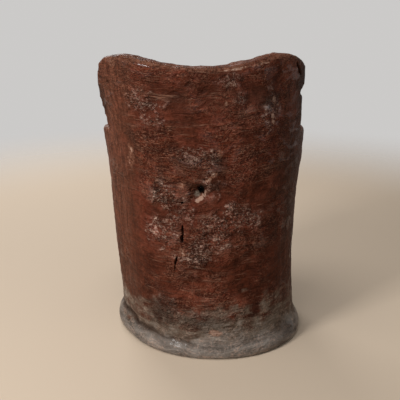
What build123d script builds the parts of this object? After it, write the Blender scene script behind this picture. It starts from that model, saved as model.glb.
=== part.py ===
"""Dugout chair hewn from one hollow tree trunk, with a plank seat nailed on two bearers.

Millimetres, +Z up. The origin is on the floor under the middle of the trunk's widest outline.
The open front of the chair faces -Y, and its tall back is on +Y.
"""

from build123d import *
import math
import os

os.makedirs("parts", exist_ok=True)

# Trunk, outside
trunk_height = 800.0
arm_height = 592.0
front_height = 388.0
log_half_width = 249.0
back_depth = 250.0
front_depth = 240.0
lean = 24.0
foot_flare = 14.0
foot_height = 62.0

# Trunk, hollow
rim_wall = 46.0
foot_wall = 58.0

# Arms and the wings of the back behind them, with turns in degrees from +X
wing_left_turn = 25.0
wing_right_turn = 155.0
wing_edge_turn = 1.5
arm_front_y = -116.0
arm_slope = 26.0
arm_sweep = 80.0

# Worn rims
rim_round = 12.0

# Knot hole and drying cracks in the back
knot_x = 28.0
knot_z = 474.0
knot_width = 31.0
knot_height = 28.0
knot_mouth_lip = 6.0
knot_mouth_depth = 16.0
crack_turn = 77.0
crack_z = 351.0
crack_length = 40.0
crack_width = 5.0
crack_depth = 26.0
corner_crack_turn = 149.0
corner_crack_z = 740.0
corner_crack_length = 32.0
corner_crack_width = 7.0
corner_crack_depth = 18.0
corner_crack_tilt = 14.0

# Seat of planks scribed to the hollow, on two bearers hewn to its curve
seat_height = 385.0
plank_thickness = 28.0
plank_gap = 3.0
plank_edge_bevel = 2.0
scribe_gap = 2.5
plank_count = 3
bearer_height = 44.0
# Clear width between the bearers, and their length, as shares of the seat's width and depth
bearer_spacing_share = 0.68
bearer_length_share = 0.585

# Forged nails
nail_shank = 4.6
nail_tip = 1.4
nail_head = 12.0
nail_crown = 5.0
nail_head_height = 3.2
nail_clearance = 0.05
seat_nail_grip = 34.0
seat_nail_inset = 11.0
bearer_nail_grip = 20.0
# Places of the two nails along what each plank has on a bearer, and along a bearer
seat_nail_shares = [0.27, 0.76]
bearer_nail_shares = [0.26, 0.74]

# One overrun for every cut
overrun = 40.0

# Sections of the wall round the log, and steps up each one
section_count = 64
wall_steps = 6

# Outline of the knot hole, as radius shares at equal steps of angle
knot_shares = [1.00, 1.08, 0.96, 0.90, 1.02, 1.06, 0.94, 0.97]

# The log at equal steps of height from the floor: half width, sideways shift and depth,
# as shares of log_half_width, lean and the depths. One step is level_step_share of the height.
level_step_share = 0.125
level_shares = [
    (1.000, 0.15, 1.000),
    (0.990, 0.30, 0.992),
    (1.002, 0.62, 1.000),
    (1.016, 0.65, 1.010),
    (1.042, 0.68, 1.022),
    (1.076, 0.60, 1.036),
    (1.116, 0.72, 1.050),
    (1.182, 1.16, 1.064),
    (1.240, 1.46, 1.076),
    (1.260, 1.55, 1.082),
]
# The foot's flare at rising shares of its height: how far it stands out, as a share of foot_flare
foot_profile_shares = [(0.00, 0.80), (0.14, 1.00), (0.40, 0.86), (0.72, 0.36), (1.00, 0.00)]
# Radius of the outline at equal steps of angle from +X, at the foot and at the rim
foot_outline_shares = [0.985, 0.945, 0.985, 1.018, 1.068, 1.070, 0.996, 0.955, 0.950, 0.975, 1.005, 1.012]
rim_outline_shares = [1.000, 0.980, 0.985, 1.000, 1.012, 1.005, 0.995, 0.980, 0.965, 0.960, 0.978, 0.996]

# Crest of the back seen from behind: x as a share of the log's half width, z as a share of the height
crest_shares = [
    (1.200, 0.925),
    (1.150, 0.968),
    (1.070, 0.990),
    (0.950, 0.998),
    (0.850, 0.998),
    (0.676, 0.988),
    (0.422, 0.976),
    (0.116, 0.970),
    (-0.211, 0.975),
    (-0.475, 0.988),
    (-0.640, 1.000),
    (-0.740, 1.000),
    (-0.824, 0.996),
    (-0.929, 0.980),
    (-0.998, 0.957),
    (-1.056, 0.930),
]


def mix(low, high, share):
    return low + (high - low) * share


def flow(before, low, high, after, share):
    """A value between low and high, on a curve that runs on smoothly past both of them."""
    rise, run_out = (high - before) / 2, (after - low) / 2
    turned = share * share * (3 - 2 * share)
    lift = rise * share * (1 - share) ** 2 - run_out * share ** 2 * (1 - share)
    return mix(low, high, turned) + lift


def level_at(z):
    """Half width, sideways shift and depth shares of the log at any height."""
    place = z / (trunk_height * level_step_share)
    last = len(level_shares) - 1
    below = min(int(place), last - 1)
    rows = [level_shares[min(max(below + step, 0), last)] for step in (-1, 0, 1, 2)]
    return [flow(*values, place - below) for values in zip(*rows)]


def outline_share(turn, z):
    """The outline's radius share at any turn from +X, in degrees."""
    count = len(foot_outline_shares)
    place = turn / 360 * count
    before, after = int(place) % count, (int(place) + 1) % count
    foot = mix(foot_outline_shares[before], foot_outline_shares[after], place % 1)
    rim = mix(rim_outline_shares[before], rim_outline_shares[after], place % 1)
    return mix(foot, rim, min(z / trunk_height, 1))


def outline_point(turn, z, inset):
    """The point of the log's outline at a turn and a height, drawn in by inset."""
    width_share, lean_share, depth_share = level_at(z)
    angle = math.radians(turn)
    side_depth = back_depth if math.sin(angle) >= 0 else front_depth
    share = outline_share(turn, z)
    x = lean * lean_share + (log_half_width * width_share - inset) * share * math.cos(angle)
    y = (side_depth * depth_share - inset) * share * math.sin(angle)
    return Vector(x, y, z)


def wall_at(z):
    return mix(foot_wall, rim_wall, min(z / trunk_height, 1))


def ease(share):
    """A share from 0 to 1, drawn out level at both ends."""
    return (1 - math.cos(math.pi * min(max(share, 0), 1))) / 2


def arm_rim(turn):
    """Height of the rim in front of the wings: low in front, and up over each arm."""
    y = outline_point(turn, arm_height, 0).Y
    rear_y = outline_point(wing_left_turn, arm_height, 0).Y
    tip_height = arm_height - arm_slope
    if y < arm_front_y:
        return mix(tip_height, front_height, ease((arm_front_y - y) / arm_sweep))
    return mix(tip_height, arm_height, ease((y - arm_front_y) / (rear_y - arm_front_y)))


def crest_rim(turn):
    """Height of the worn crest of the back."""
    share = outline_point(turn, trunk_height, 0).X / log_half_width
    for (high_x, high_z), (low_x, low_z) in zip(crest_shares, crest_shares[1:]):
        if share >= low_x:
            return trunk_height * mix(low_z, high_z, (share - low_x) / (high_x - low_x))
    return trunk_height * crest_shares[-1][1]


def rim_height(turn):
    if wing_left_turn <= turn <= wing_right_turn:
        return crest_rim(turn)
    return arm_rim(turn)


def wall_line(turn, low, high, outside):
    """A line up the wall's outer or inner side at one turn round the log."""
    points = []
    for step in range(wall_steps + 1):
        z = mix(low, high, step / wall_steps)
        points.append(outline_point(turn, z, 0 if outside else wall_at(z)))
    return Edge.make_spline(points, parameters=list(range(wall_steps + 1)))


def wing_edge_turns():
    """Turns of the sections on both sides of each wing's front edge."""
    left = [wing_left_turn - wing_edge_turn, wing_left_turn]
    return left + [wing_right_turn, wing_right_turn + wing_edge_turn]


def rim_corner(turn, start, corner, end):
    """The rim's edge between two points: a worn quarter round, but sawn flat at the wings' edges."""
    if turn in wing_edge_turns():
        return Line(start, end)
    middle = corner + ((start + end) / 2 - corner) * (2 - math.sqrt(2))
    return ThreePointArc(start, middle, end)


def wall_section(turn):
    """Outline of the wall at one turn round the log: flared foot, two sides and worn rim."""
    top = rim_height(turn)
    shoulder = top - rim_round
    steps = foot_profile_shares
    foot = Spline(*[outline_point(turn, foot_height * up, -foot_flare * out) for up, out in steps])
    outer = wall_line(turn, foot_height, shoulder, True)
    inner = wall_line(turn, 0, shoulder, False)
    outer_top = outline_point(turn, top, rim_round)
    inner_top = outline_point(turn, top, wall_at(top) - rim_round)
    return Wire([
        Line(inner @ 0, foot @ 0),
        foot,
        outer,
        rim_corner(turn, outer @ 1, outline_point(turn, top, 0), outer_top),
        Line(outer_top, inner_top),
        rim_corner(turn, inner_top, outline_point(turn, top, wall_at(top)), inner @ 1),
        inner,
    ])


def section_turns():
    """Turns of the wall's sections: equal steps, and both sides of each wing's front edge."""
    steps = {360 * step / section_count for step in range(section_count)}
    return sorted(steps.union(wing_edge_turns()))


def hewn_trunk():
    """The hollow log, as its wall carried once round."""
    sections = [wall_section(turn) for turn in section_turns()]
    skin = Shell.make_loft(sections + sections[:1], ruled=True)
    return Solid(Shell(skin.faces()))


def hollow(low, high, gap):
    """The hollow's own space between two heights, drawn in all round by gap."""
    count = len(foot_outline_shares)
    ends = []
    for z in (low, high):
        points = [outline_point(360 * step / count, z, wall_at(z) + gap) for step in range(count)]
        line = Edge.make_spline(points, periodic=True, parameters=list(range(count + 1)))
        ends.append(make_face(line))
    return loft(ends, ruled=True)


def knot_outline(width, height, y):
    """Closed, uneven outline of the knot hole on the upright plane at y."""
    points = []
    for step, share in enumerate(knot_shares):
        angle = 2 * math.pi * step / len(knot_shares)
        x = knot_x + width / 2 * share * math.cos(angle)
        z = knot_z + height / 2 * share * math.sin(angle)
        points.append((x, y, z))
    return make_face(Spline(*points, periodic=True))


def knot_hole():
    """A dead branch's hole right through the back, with a worn mouth outside."""
    mouth = 2 * knot_mouth_lip
    outer_y = back_depth + knot_mouth_depth
    throat_y = back_depth - knot_mouth_depth
    inner_y = back_depth - 2 * foot_wall
    funnel = loft([
        knot_outline(knot_width + 2 * mouth, knot_height + 2 * mouth, outer_y),
        knot_outline(knot_width, knot_height, throat_y),
    ])
    throat = loft([
        knot_outline(knot_width, knot_height, throat_y),
        knot_outline(knot_width + mouth, knot_height + mouth, inner_y),
    ])
    return funnel + throat


def crack(turn, z, length, width, depth, tilt):
    """A drying crack with pointed ends, cut straight in from outside at an angle of turn from +X."""
    low, high = (0, -length / 2), (0, length / 2)
    lens = ThreePointArc(low, (width / 2, 0), high) + ThreePointArc(high, (-width / 2, 0), low)
    mouth = outline_point(turn, z, 0)
    inwards = (outline_point(turn, z, depth) - mouth).normalized()
    across = Vector(0, 0, 1).cross(inwards)
    floor = Plane(origin=mouth + inwards * depth, x_dir=across, z_dir=-inwards)
    return extrude(floor * Rot(0, 0, tilt) * make_face(lens), depth + overrun)


def make_trunk():
    trunk = hewn_trunk() - knot_hole()
    trunk -= crack(crack_turn, crack_z, crack_length, crack_width, crack_depth, 0)
    trunk -= crack(
        corner_crack_turn, corner_crack_z, corner_crack_length,
        corner_crack_width, corner_crack_depth, corner_crack_tilt,
    )
    return trunk


def slab(low, high):
    """An upright box between two corners."""
    size = [b - a for a, b in zip(low, high)]
    return Pos(*low) * Box(*size, align=(Align.MIN, Align.MIN, Align.MIN))


def seat_blank():
    """The whole seat before it is sawn into planks, scribed to the hollow."""
    return hollow(seat_height - plank_thickness, seat_height, scribe_gap)


def plank_spans(blank):
    """The front and rear edge of each plank, front plank first."""
    box = blank.bounding_box()
    pitch = (box.max.Y - box.min.Y + plank_gap) / plank_count
    fronts = [box.min.Y + pitch * number for number in range(plank_count)]
    return [(front, front + pitch - plank_gap) for front in fronts]


def make_planks(blank):
    reach = 2 * log_half_width
    planks = []
    for front, rear in plank_spans(blank):
        plank = blank & slab((-reach, front, 0), (reach, rear, seat_height + overrun))
        top = plank.faces().sort_by(Axis.Z)[-1]
        planks.append(chamfer(top.edges(), plank_edge_bevel))
    return planks


def bearer_face(blank, side):
    """Where a bearer's inner face is across the chair: side is -1 for the right and 1 for the left."""
    box = blank.bounding_box()
    return box.center().X + side * box.size.X * bearer_spacing_share / 2


def bearer_span(blank):
    """The front and rear end of both bearers."""
    box = blank.bounding_box()
    half = box.size.Y * bearer_length_share / 2
    return box.center().Y - half, box.center().Y + half


def make_bearers(trunk, blank):
    """Two blocks under the plank ends, whose outer faces are hewn to the trunk's inner wall."""
    top = seat_height - plank_thickness
    reach = 2 * log_half_width
    front, rear = bearer_span(blank)
    bearers = []
    for side in (-1, 1):
        ends = sorted([bearer_face(blank, side), side * reach])
        low, high = (ends[0], front, top - bearer_height), (ends[1], rear, top)
        inside_wall = hollow(low[-1], high[-1], -wall_at(top) / 2)
        bearers.append((slab(low, high) & inside_wall) - trunk)
    return bearers


def square_taper(base_size, end_size, rise):
    """A four-sided taper up the Z axis, from a square base at zero to a smaller square end."""
    angle = math.degrees(math.atan2((base_size - end_size) / 2, rise))
    return extrude(Rectangle(base_size, base_size), rise, taper=angle)


def nail_hole(length):
    """The space of a nail driven flush, its shank and its head, with its clearance all round."""
    tip, shank = nail_tip + 2 * nail_clearance, nail_shank + 2 * nail_clearance
    half = nail_head / 2 + nail_clearance
    head_space = slab((-half, -half, -nail_clearance), (half, half, nail_head_height + overrun))
    return Rot(180, 0, 0) * square_taper(shank, tip, length + nail_clearance) + head_space


def forged_nail(length):
    """A square nail with a rose head, its head's underside at the origin and its point down."""
    shank = Rot(180, 0, 0) * square_taper(nail_shank, nail_tip, length)
    return shank + square_taper(nail_head, nail_crown, nail_head_height)


def seat_nail_places(blank):
    """Two nails at each end of each plank, over the length that its bearer holds, driven flush."""
    z = seat_height - nail_head_height
    first, last = bearer_span(blank)
    places = []
    for front, rear in plank_spans(blank):
        low, high = max(front, first), min(rear, last)
        for side in (-1, 1):
            x = bearer_face(blank, side) + side * seat_nail_inset
            places += [Pos(x, mix(low, high, share), z) for share in seat_nail_shares]
    return places


def bearer_nail_places(blank):
    """Two nails through each bearer into the trunk's wall, driven flush, their points outwards."""
    z = seat_height - plank_thickness - bearer_height / 2
    front, rear = bearer_span(blank)
    places = []
    for side in (-1, 1):
        x = bearer_face(blank, side) + side * nail_head_height
        for share in bearer_nail_shares:
            places.append(Pos(x, mix(front, rear, share), z) * Rot(0, -90 * side, 0))
    return places


def main():
    trunk = make_trunk()
    blank = seat_blank()
    planks = make_planks(blank)
    bearers = make_bearers(trunk, blank)

    seat_places = seat_nail_places(blank)
    bearer_places = bearer_nail_places(blank)
    seat_nail_length = plank_thickness + seat_nail_grip
    bearer_nail_length = max(bearer.bounding_box().size.X for bearer in bearers) + bearer_nail_grip
    seat_holes = [place * nail_hole(seat_nail_length) for place in seat_places]
    bearer_holes = [place * nail_hole(bearer_nail_length) for place in bearer_places]

    parts = {"trunk": trunk - bearer_holes}
    names = ["seat_plank_front", "seat_plank_middle", "seat_plank_rear"]
    for name, plank in zip(names, planks):
        parts[name] = plank - seat_holes
    for name, bearer in zip(["seat_bearer_right", "seat_bearer_left"], bearers):
        parts[name] = bearer - seat_holes - bearer_holes
    parts["seat_nails"] = Compound([place * forged_nail(seat_nail_length) for place in seat_places])
    parts["bearer_nails"] = Compound([place * forged_nail(bearer_nail_length) for place in bearer_places])

    middle = parts["trunk"].bounding_box().center()
    to_origin = Pos(-middle.X, -middle.Y, 0)
    print("Moved to the origin by", to_origin.position)
    for name, shape in parts.items():
        export_step(to_origin * shape, f"parts/{name}.step")


main()
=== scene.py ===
"""Dresses the dugout chair: its log is worn, hewn and waxed, and its plank seat sawn and nailed.

Everything is in metres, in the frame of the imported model: +Z up, the open front of the chair
towards -Y, its tall back on +Y, and the sitter's left on +X.
"""

import logging
import math
from dataclasses import dataclass
from enum import Enum
from typing import Any

import bmesh
import bpy
import numpy as np
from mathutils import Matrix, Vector, noise

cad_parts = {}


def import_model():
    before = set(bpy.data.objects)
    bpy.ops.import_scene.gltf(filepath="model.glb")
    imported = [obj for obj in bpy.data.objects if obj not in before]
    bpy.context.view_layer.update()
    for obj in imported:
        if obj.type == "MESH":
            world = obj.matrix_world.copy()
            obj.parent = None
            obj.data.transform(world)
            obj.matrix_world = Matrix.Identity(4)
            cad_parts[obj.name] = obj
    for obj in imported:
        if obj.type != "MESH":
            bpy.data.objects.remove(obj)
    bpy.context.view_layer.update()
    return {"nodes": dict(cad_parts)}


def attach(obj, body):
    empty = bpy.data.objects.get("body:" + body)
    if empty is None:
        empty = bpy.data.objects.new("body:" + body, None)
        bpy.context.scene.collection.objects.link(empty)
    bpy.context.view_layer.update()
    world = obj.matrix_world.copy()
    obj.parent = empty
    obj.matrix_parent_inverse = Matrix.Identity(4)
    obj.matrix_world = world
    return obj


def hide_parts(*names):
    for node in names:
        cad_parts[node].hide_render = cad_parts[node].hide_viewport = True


LOG = logging.getLogger("dugout_chair")

Point = tuple[float, float, float]
Flat = tuple[float, float]
Colour = tuple[float, float, float]
# Where a smooth step starts, at 0, and where it ends, at 1
Ends = tuple[float, float]


class Paint(Enum):
    """What is painted on the log's points, by the name of its attribute."""

    PITS = "pits"
    WORN = "worn"
    GREY = "grey"
    SMOKE = "smoke"
    SCAR = "scar"
    RIM = "rim"
    EDGE = "edge"
    INSIDE = "inside"


class Grain(Enum):
    """The way a board's grain runs, as how much a pattern is squeezed along each axis."""

    ACROSS = (0.06, 1.0, 1.0)
    DEEP = (1.0, 0.06, 1.0)


class Socket:
    """One output of a shader node. Arithmetic on it adds Math nodes."""

    def __init__(self, shader: "Shader", link: bpy.types.NodeSocket | None) -> None:
        """Keeps the output, if the node has one, and the shader that it belongs to."""
        self.shader = shader
        self.link = link

    def _math(self, operation: str, *values: Any) -> "Socket":
        """One Math node on the given values, in order."""
        return self.shader.node("ShaderNodeMath", {"operation": operation}, dict(enumerate(values)))

    def __add__(self, other: Any) -> "Socket":
        """This value plus another."""
        return self._math("ADD", self, other)

    def __sub__(self, other: Any) -> "Socket":
        """This value less another."""
        return self._math("SUBTRACT", self, other)

    def __rsub__(self, other: Any) -> "Socket":
        """Another value less this one."""
        return self._math("SUBTRACT", other, self)

    def __mul__(self, other: Any) -> "Socket":
        """This value times another."""
        return self._math("MULTIPLY", self, other)

    __radd__ = __add__
    __rmul__ = __mul__

    def most(self, other: Any) -> "Socket":
        """The larger of this value and another."""
        return self._math("MAXIMUM", self, other)

    def angle(self, other: Any) -> "Socket":
        """The angle whose sine goes as this value and whose cosine goes as another."""
        return self._math("ARCTAN2", self, other)

    def clamped(self) -> "Socket":
        """This value kept between 0 and 1."""
        return self.shader.node("ShaderNodeClamp", {}, {"Value": self})

    def rise(self, low: float, high: float) -> "Socket":
        """A smooth step of this value.

        Args:
            low: Where the step starts, at 0.
            high: Where it ends, at 1.

        Returns:
            A value from 0 to 1.
        """
        settings = {"interpolation_type": "SMOOTHSTEP", "clamp": True}
        ends = {"Value": self, "From Min": low, "From Max": high, "To Min": 0.0, "To Max": 1.0}
        return self.shader.node("ShaderNodeMapRange", settings, ends)

    def lines(self, core: float, width: float) -> "Socket":
        """Thin wandering lines along which this noise is at its middle of a half.

        Args:
            core: How far from a half the lines are still full.
            width: How far from a half they have faded out.

        Returns:
            A value from 0 beside the lines to 1 on them.
        """
        return 1.0 - (self - 0.5).most(0.5 - self).rise(core, width)

    def mix(self, low: Any, high: Any) -> "Socket":
        """Mixes two colours, with this value as the second one's share.

        Args:
            low: The first colour.
            high: The second colour.

        Returns:
            The mixed colour.
        """
        colours = [value if isinstance(value, Socket) else (*value, 1.0) for value in (low, high)]
        inputs = {0: self, 6: colours[0], 7: colours[1]}
        return self.shader.node("ShaderNodeMix", {"data_type": "RGBA"}, inputs, 2)

    def tones(self, *stops: tuple[float, Colour]) -> "Socket":
        """The colour that this value picks from a ramp."""
        return self.shader.node("ShaderNodeValToRGB", {"stops": stops}, {"Fac": self})

    def _vector(self, operation: str, values: dict[Any, Any], output: str | int = 0) -> "Socket":
        """One Vector Math node, with this place or colour first."""
        settings = {"operation": operation}
        return self.shader.node("ShaderNodeVectorMath", settings, {0: self, **values}, output)

    def shaded(self, light: "Socket") -> "Socket":
        """This colour made lighter or darker by a number."""
        return self._vector("SCALE", {"Scale": light})

    def scaled(self, stretch: Point) -> "Socket":
        """This place multiplied axis by axis."""
        return self._vector("MULTIPLY", {1: stretch})

    def reach(self) -> "Socket":
        """This place's distance from the origin."""
        return self._vector("LENGTH", {}, "Value")

    def part(self, axis: str) -> "Socket":
        """One of this place's three numbers."""
        return self.shader.node("ShaderNodeSeparateXYZ", {}, {"Vector": self}, axis)

    def lifted(self, amount: "Socket", along: Point) -> "Socket":
        """This place moved by an amount that changes over the surface.

        Args:
            amount: How far it is moved.
            along: The direction, as what an amount of 1 adds.

        Returns:
            The moved place.
        """
        inputs = {0: along, "Scale": amount}
        step = self.shader.node("ShaderNodeVectorMath", {"operation": "SCALE"}, inputs)
        return self._vector("ADD", {1: step})

    def cloud(
        self, stretch: Point, layers: float = 2.0, rough: float = 0.5, swirl: float = 0.0
    ) -> "Socket":
        """A soft noise, read at this place.

        Args:
            stretch: How many features a metre holds along each axis.
            layers: How many finer layers the noise has.
            rough: How strong the finer layers are.
            swirl: How much it is stirred.

        Returns:
            A value from 0 to 1.
        """
        finer = {"Detail": layers, "Roughness": rough, "Distortion": swirl}
        inputs = {"Vector": self.scaled(stretch), "Scale": 1.0, **finer}
        return self.shader.node("ShaderNodeTexNoise", {}, inputs)

    def cells(self, stretch: Point) -> "Socket":
        """The distance from this place to the nearest of many scattered points."""
        inputs = {"Vector": self.scaled(stretch), "Scale": 1.0}
        return self.shader.node("ShaderNodeTexVoronoi", {"feature": "F1"}, inputs, "Distance")


class Shader:
    """A material's or a world's node tree, with the one method that adds a node to it."""

    def __init__(self, owner: bpy.types.Material | bpy.types.World) -> None:
        """Empties the owner's tree.

        Args:
            owner: The material or the world.
        """
        owner.use_nodes = True
        self.owner = owner
        self.tree = owner.node_tree
        self.tree.nodes.clear()

    def node(
        self,
        kind: str,
        settings: dict[str, Any] | None = None,
        inputs: dict[str | int, Any] | None = None,
        output: str | int = 0,
    ) -> Socket:
        """Adds a node, sets it, then gives its sockets their values or links.

        Args:
            kind: The node's type.
            settings: Its properties by name; "stops" holds a ramp's places and colours.
            inputs: Values or sockets, by the input's name or number.
            output: The output that is handed back.

        Returns:
            That output.
        """
        made = self.tree.nodes.new(kind)
        for key, value in (settings or {}).items():
            if key == "stops":
                self._set_stops(made.color_ramp, value)
            else:
                setattr(made, key, value)
        for key, value in (inputs or {}).items():
            if isinstance(value, Socket):
                self.tree.links.new(value.link, made.inputs[key])
            else:
                made.inputs[key].default_value = value
        return Socket(self, made.outputs[output] if made.outputs else None)

    @staticmethod
    def _set_stops(ramp: bpy.types.ColorRamp, stops: tuple[tuple[float, Colour], ...]) -> None:
        """Gives a ramp its stops.

        Args:
            ramp: The ramp.
            stops: Places from 0 to 1, each with its colour.
        """
        while len(ramp.elements) < len(stops):
            ramp.elements.new(1.0)
        for element, (place, colour) in zip(ramp.elements, stops):
            element.position = place
            element.color = (*colour, 1.0)

    def place(self) -> Socket:
        """The place on the piece, in metres."""
        return self.node("ShaderNodeTexCoord", output="Object")

    def finish(
        self, colour: Socket, roughness: Socket, height: Socket, gloss: Any, fixed: dict[str, float]
    ) -> bpy.types.Material:
        """Joins colour, roughness, relief and wax into the surface.

        Args:
            colour: Base colour.
            roughness: Roughness.
            height: Relief in metres.
            gloss: How much wax lies on the surface.
            fixed: Values that are the same all over, by the shader's socket.

        Returns:
            The finished material.
        """
        bump = {"Strength": 1.0, "Distance": 1.0, "Height": height}
        relief = self.node("ShaderNodeBump", {}, bump)
        varied = {"Base Color": colour, "Roughness": roughness, "Coat Weight": gloss}
        surface = self.node("ShaderNodeBsdfPrincipled", {}, {**varied, "Normal": relief, **fixed})
        self.node("ShaderNodeOutputMaterial", {}, {"Surface": surface})
        return self.owner


@dataclass(frozen=True)
class WoodRelief:
    """How high, in metres, each noise raises the log's surface, or how deep a mark cuts it."""

    stroke: float = 0.008
    whorl: float = 0.0072
    thread: float = 0.001
    lump: float = 0.0105
    blotch: float = 0.0045
    speck: float = 0.0011
    grit: float = 0.0006
    hairline: float = 0.001
    scratch: float = 0.0005
    fibre: float = 0.0002
    bare_fibre: float = 0.0008
    pock: float = 0.0036
    pitted_whorl: float = 0.008
    pitted_thread: float = 0.0012
    dust: float = 0.005
    dust_pock: float = 0.001
    check: float = 0.0016
    ring: float = 0.0006


@dataclass
class LogFinish:
    """Old waxed wood of the log, with its pits, worn spots, grey foot and bare inside, and painted
    light
    and shade: highlights on the lumps and ridges, a highlight along the crest, shade in the knot
    hole and the foot's crease, and a darker right side.

    The noises are laid out first. Then each layer is laid over the colour that is there.
    """

    name: str = "log_wood"
    deep: Colour = (0.038, 0.0092, 0.0046)
    body: Colour = (0.075, 0.0174, 0.0076)
    warm: Colour = (0.123, 0.031, 0.0165)
    light: Colour = (0.212, 0.09, 0.053)
    red: Colour = (0.14, 0.028, 0.014)
    tan: Colour = (0.33, 0.168, 0.108)
    # The colour of the painted highlights on the raised lumps
    bloom: Colour = (0.42, 0.215, 0.17)
    # Pale worn crumbs, and painted glints in the pits
    pale_crumb_and_glint: Colour = (0.48, 0.32, 0.245)
    ash: Colour = (0.088, 0.046, 0.03)
    grey: Colour = (0.185, 0.157, 0.135)
    olive: Colour = (0.118, 0.085, 0.062)
    # Smoky stains, and painted shade in the foot's crease
    smoke: Colour = (0.027, 0.013, 0.008)
    dry: Colour = (0.085, 0.042, 0.024)
    black: Colour = (0.004, 0.003, 0.002)
    mirror: float = 0.04
    wax_roughness: float = 0.15
    relief: WoodRelief = WoodRelief()
    # How far the sway lifts the tool strokes and the hairlines, and how far it bends the rings
    stroke_lift: float = 0.075
    hairline_lift: float = 0.03
    ring_bend: float = 0.03

    def __post_init__(self) -> None:
        """Lays out the noises, and reads what is painted on the log's points."""
        self.shader = shader = Shader(bpy.data.materials.new(self.name))
        self.place = place = shader.place()
        self.paint = {
            kind: shader.node("ShaderNodeAttribute", {"attribute_name": kind.value}, output="Fac")
            for kind in Paint
        }
        self.across = place.part("X")
        self.flank = self.across.most(0.0 - self.across).rise(0.14, 0.25)
        self.sway = place.cloud((6.0, 6.0, 5.0))
        self.broad = place.cloud((5.5, 5.5, 4.5), 3.0, 0.55)
        self.blotch = place.cloud((16.0, 16.0, 13.0), 5.0, 0.66, 0.6)
        self.fibre = place.cloud((150.0, 150.0, 9.0), 4.0, 0.65)
        self.speck = place.cloud((130.0, 130.0, 150.0), 3.0, 0.65)
        self.pocks = place.cells((90.0, 90.0, 120.0))
        self.broken = place.cloud((38.0, 38.0, 46.0), 3.0, 0.6).rise(0.38, 0.58)
        self.pits = (self.paint[Paint.PITS] * (0.25 + 0.75 * self.broken)).clamped()
        self.lively = 0.15 + 0.85 * place.cloud((8.0, 8.0, 8.0)).rise(0.4, 0.6)

        bent = place.lifted(self.sway, (0.0, 0.0, self.stroke_lift))
        stroke = bent.cloud((19.0, 19.0, 95.0), 3.0, 0.66, 0.5)
        self.stroke = 0.5 + (stroke - 0.5) * (1.0 - 0.75 * self.flank)
        self.along = bent.cloud((12.0, 12.0, 60.0), 3.0, 0.6, 0.6)
        self.grit = bent.cloud((210.0, 210.0, 330.0), 2.0, 0.6)
        self.lump = bent.cloud((24.0, 24.0, 40.0), 3.0, 0.55, 0.8)
        self.bulge = self.lump.rise(0.54, 0.63)
        self.whorl = bent.cloud((44.0, 44.0, 78.0), 2.0, 0.55, 1.2)
        self.thread = self.whorl.lines(0.0, 0.055)
        self.curl = bent.cloud((72.0, 72.0, 105.0), 2.0, 0.5, 1.6).lines(0.0, 0.05)
        scratch = bent.cloud((34.0, 34.0, 190.0), 2.0, 0.5, 0.4).lines(0.004, 0.04)
        scratch = scratch * self.grit.rise(0.46, 0.6) * self.lively
        self.scratch = scratch * (1.0 - 0.7 * self.flank)
        line = place.lifted(self.sway, (0.0, 0.0, self.hairline_lift)).cloud((4.0, 4.0, 150.0))
        present = place.cloud((13.0, 13.0, 36.0)).rise(0.52, 0.62)
        self.hairline = line.lines(0.002, 0.024) * present

        reach = place.scaled((1.0, 1.0, 0.0)).reach()
        turn = place.part("Y").angle(self.across)
        around = {0: reach + self.sway * self.ring_bend, 1: turn}
        self.rings = shader.node("ShaderNodeCombineXYZ", {}, around).cloud((260.0, 2.6, 1.0))
        check = shader.node("ShaderNodeCombineXYZ", {}, {0: turn, 1: reach})
        present = place.cloud((22.0, 22.0, 22.0)).rise(0.42, 0.58)
        self.checks = check.cloud((11.0, 14.0, 1.0)).lines(0.004, 0.026) * present

    def _over(self, colour: Any, share: Socket) -> None:
        """Lays a share of another colour over the colour that is there."""
        self.colour = share.mix(self.colour, colour)

    def _skin(self) -> None:
        """The waxed wood, brown and red; its strokes, grit and lumps lighten and darken it as
        painted light and shade of the relief.
        """
        upper = self.place.part("Z").rise(0.24, 0.42)
        tone = 0.445 + upper * 0.04 + (self.broad - 0.5) * 0.6 + (self.blotch - 0.5) * 0.75
        tone = tone + (self.speck - 0.5) * 0.25 + (self.fibre - 0.5) * self.flank * 0.45
        warm, light = (0.6, self.warm), (0.82, self.light)
        self.colour = tone.tones((0.28, self.deep), (0.46, self.body), warm, light)
        ruddy = self.place.cloud((13.0, 13.0, 10.0), 3.0, 0.6).rise(0.53, 0.66)
        self._over(self.red, ruddy * upper * 0.42)
        # Painted light and shade: lighter on the strokes' crests, the grit and the raised lumps,
        # darker between them
        painted_stroke_shade = (1.3 + 1.5 * self.lively) * (self.stroke - 0.5)
        painted_grit_shade = (0.3 + 2.9 * self.lively) * (self.grit - 0.5)
        self.colour = self.colour.shaded((painted_stroke_shade + painted_grit_shade + 1.2 * self.lump + 0.25).most(0.42))

    def _flanks(self) -> None:
        """The upright grain at the log's sides, tawny on the left one and ashen on the right, and
        painted shade that darkens the log towards its right side.
        """
        fibre, speck = self.fibre, self.speck
        left = self.across.rise(0.14, 0.24)
        right = (0.0 - self.across).rise(0.175, 0.25)
        streak = fibre.rise(0.46, 0.66)
        self._over(self.light, left * (0.26 + 0.22 * streak))
        self._over(self.deep, left.most(right) * fibre.rise(0.48, 0.34) * 0.38)
        self._over(self.ash, right * (0.25 + 0.5 * streak * speck.rise(0.35, 0.6)))
        grain = left.most(right) * (1.4 * (speck - 0.5) + 0.7 * (fibre - 0.5))
        # Painted shade: the log grows darker towards its right side
        dim = 0.06 * (0.0 - self.across).rise(-0.04, 0.2)
        self.colour = self.colour.shaded(1.0 + grain).shaded(1.0 - dim)

    def _pale_lines(self) -> None:
        """Pale threads, hairlines and scratches, partly where the wax is rubbed thin and partly
        painted glints along the ridges.
        """
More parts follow.
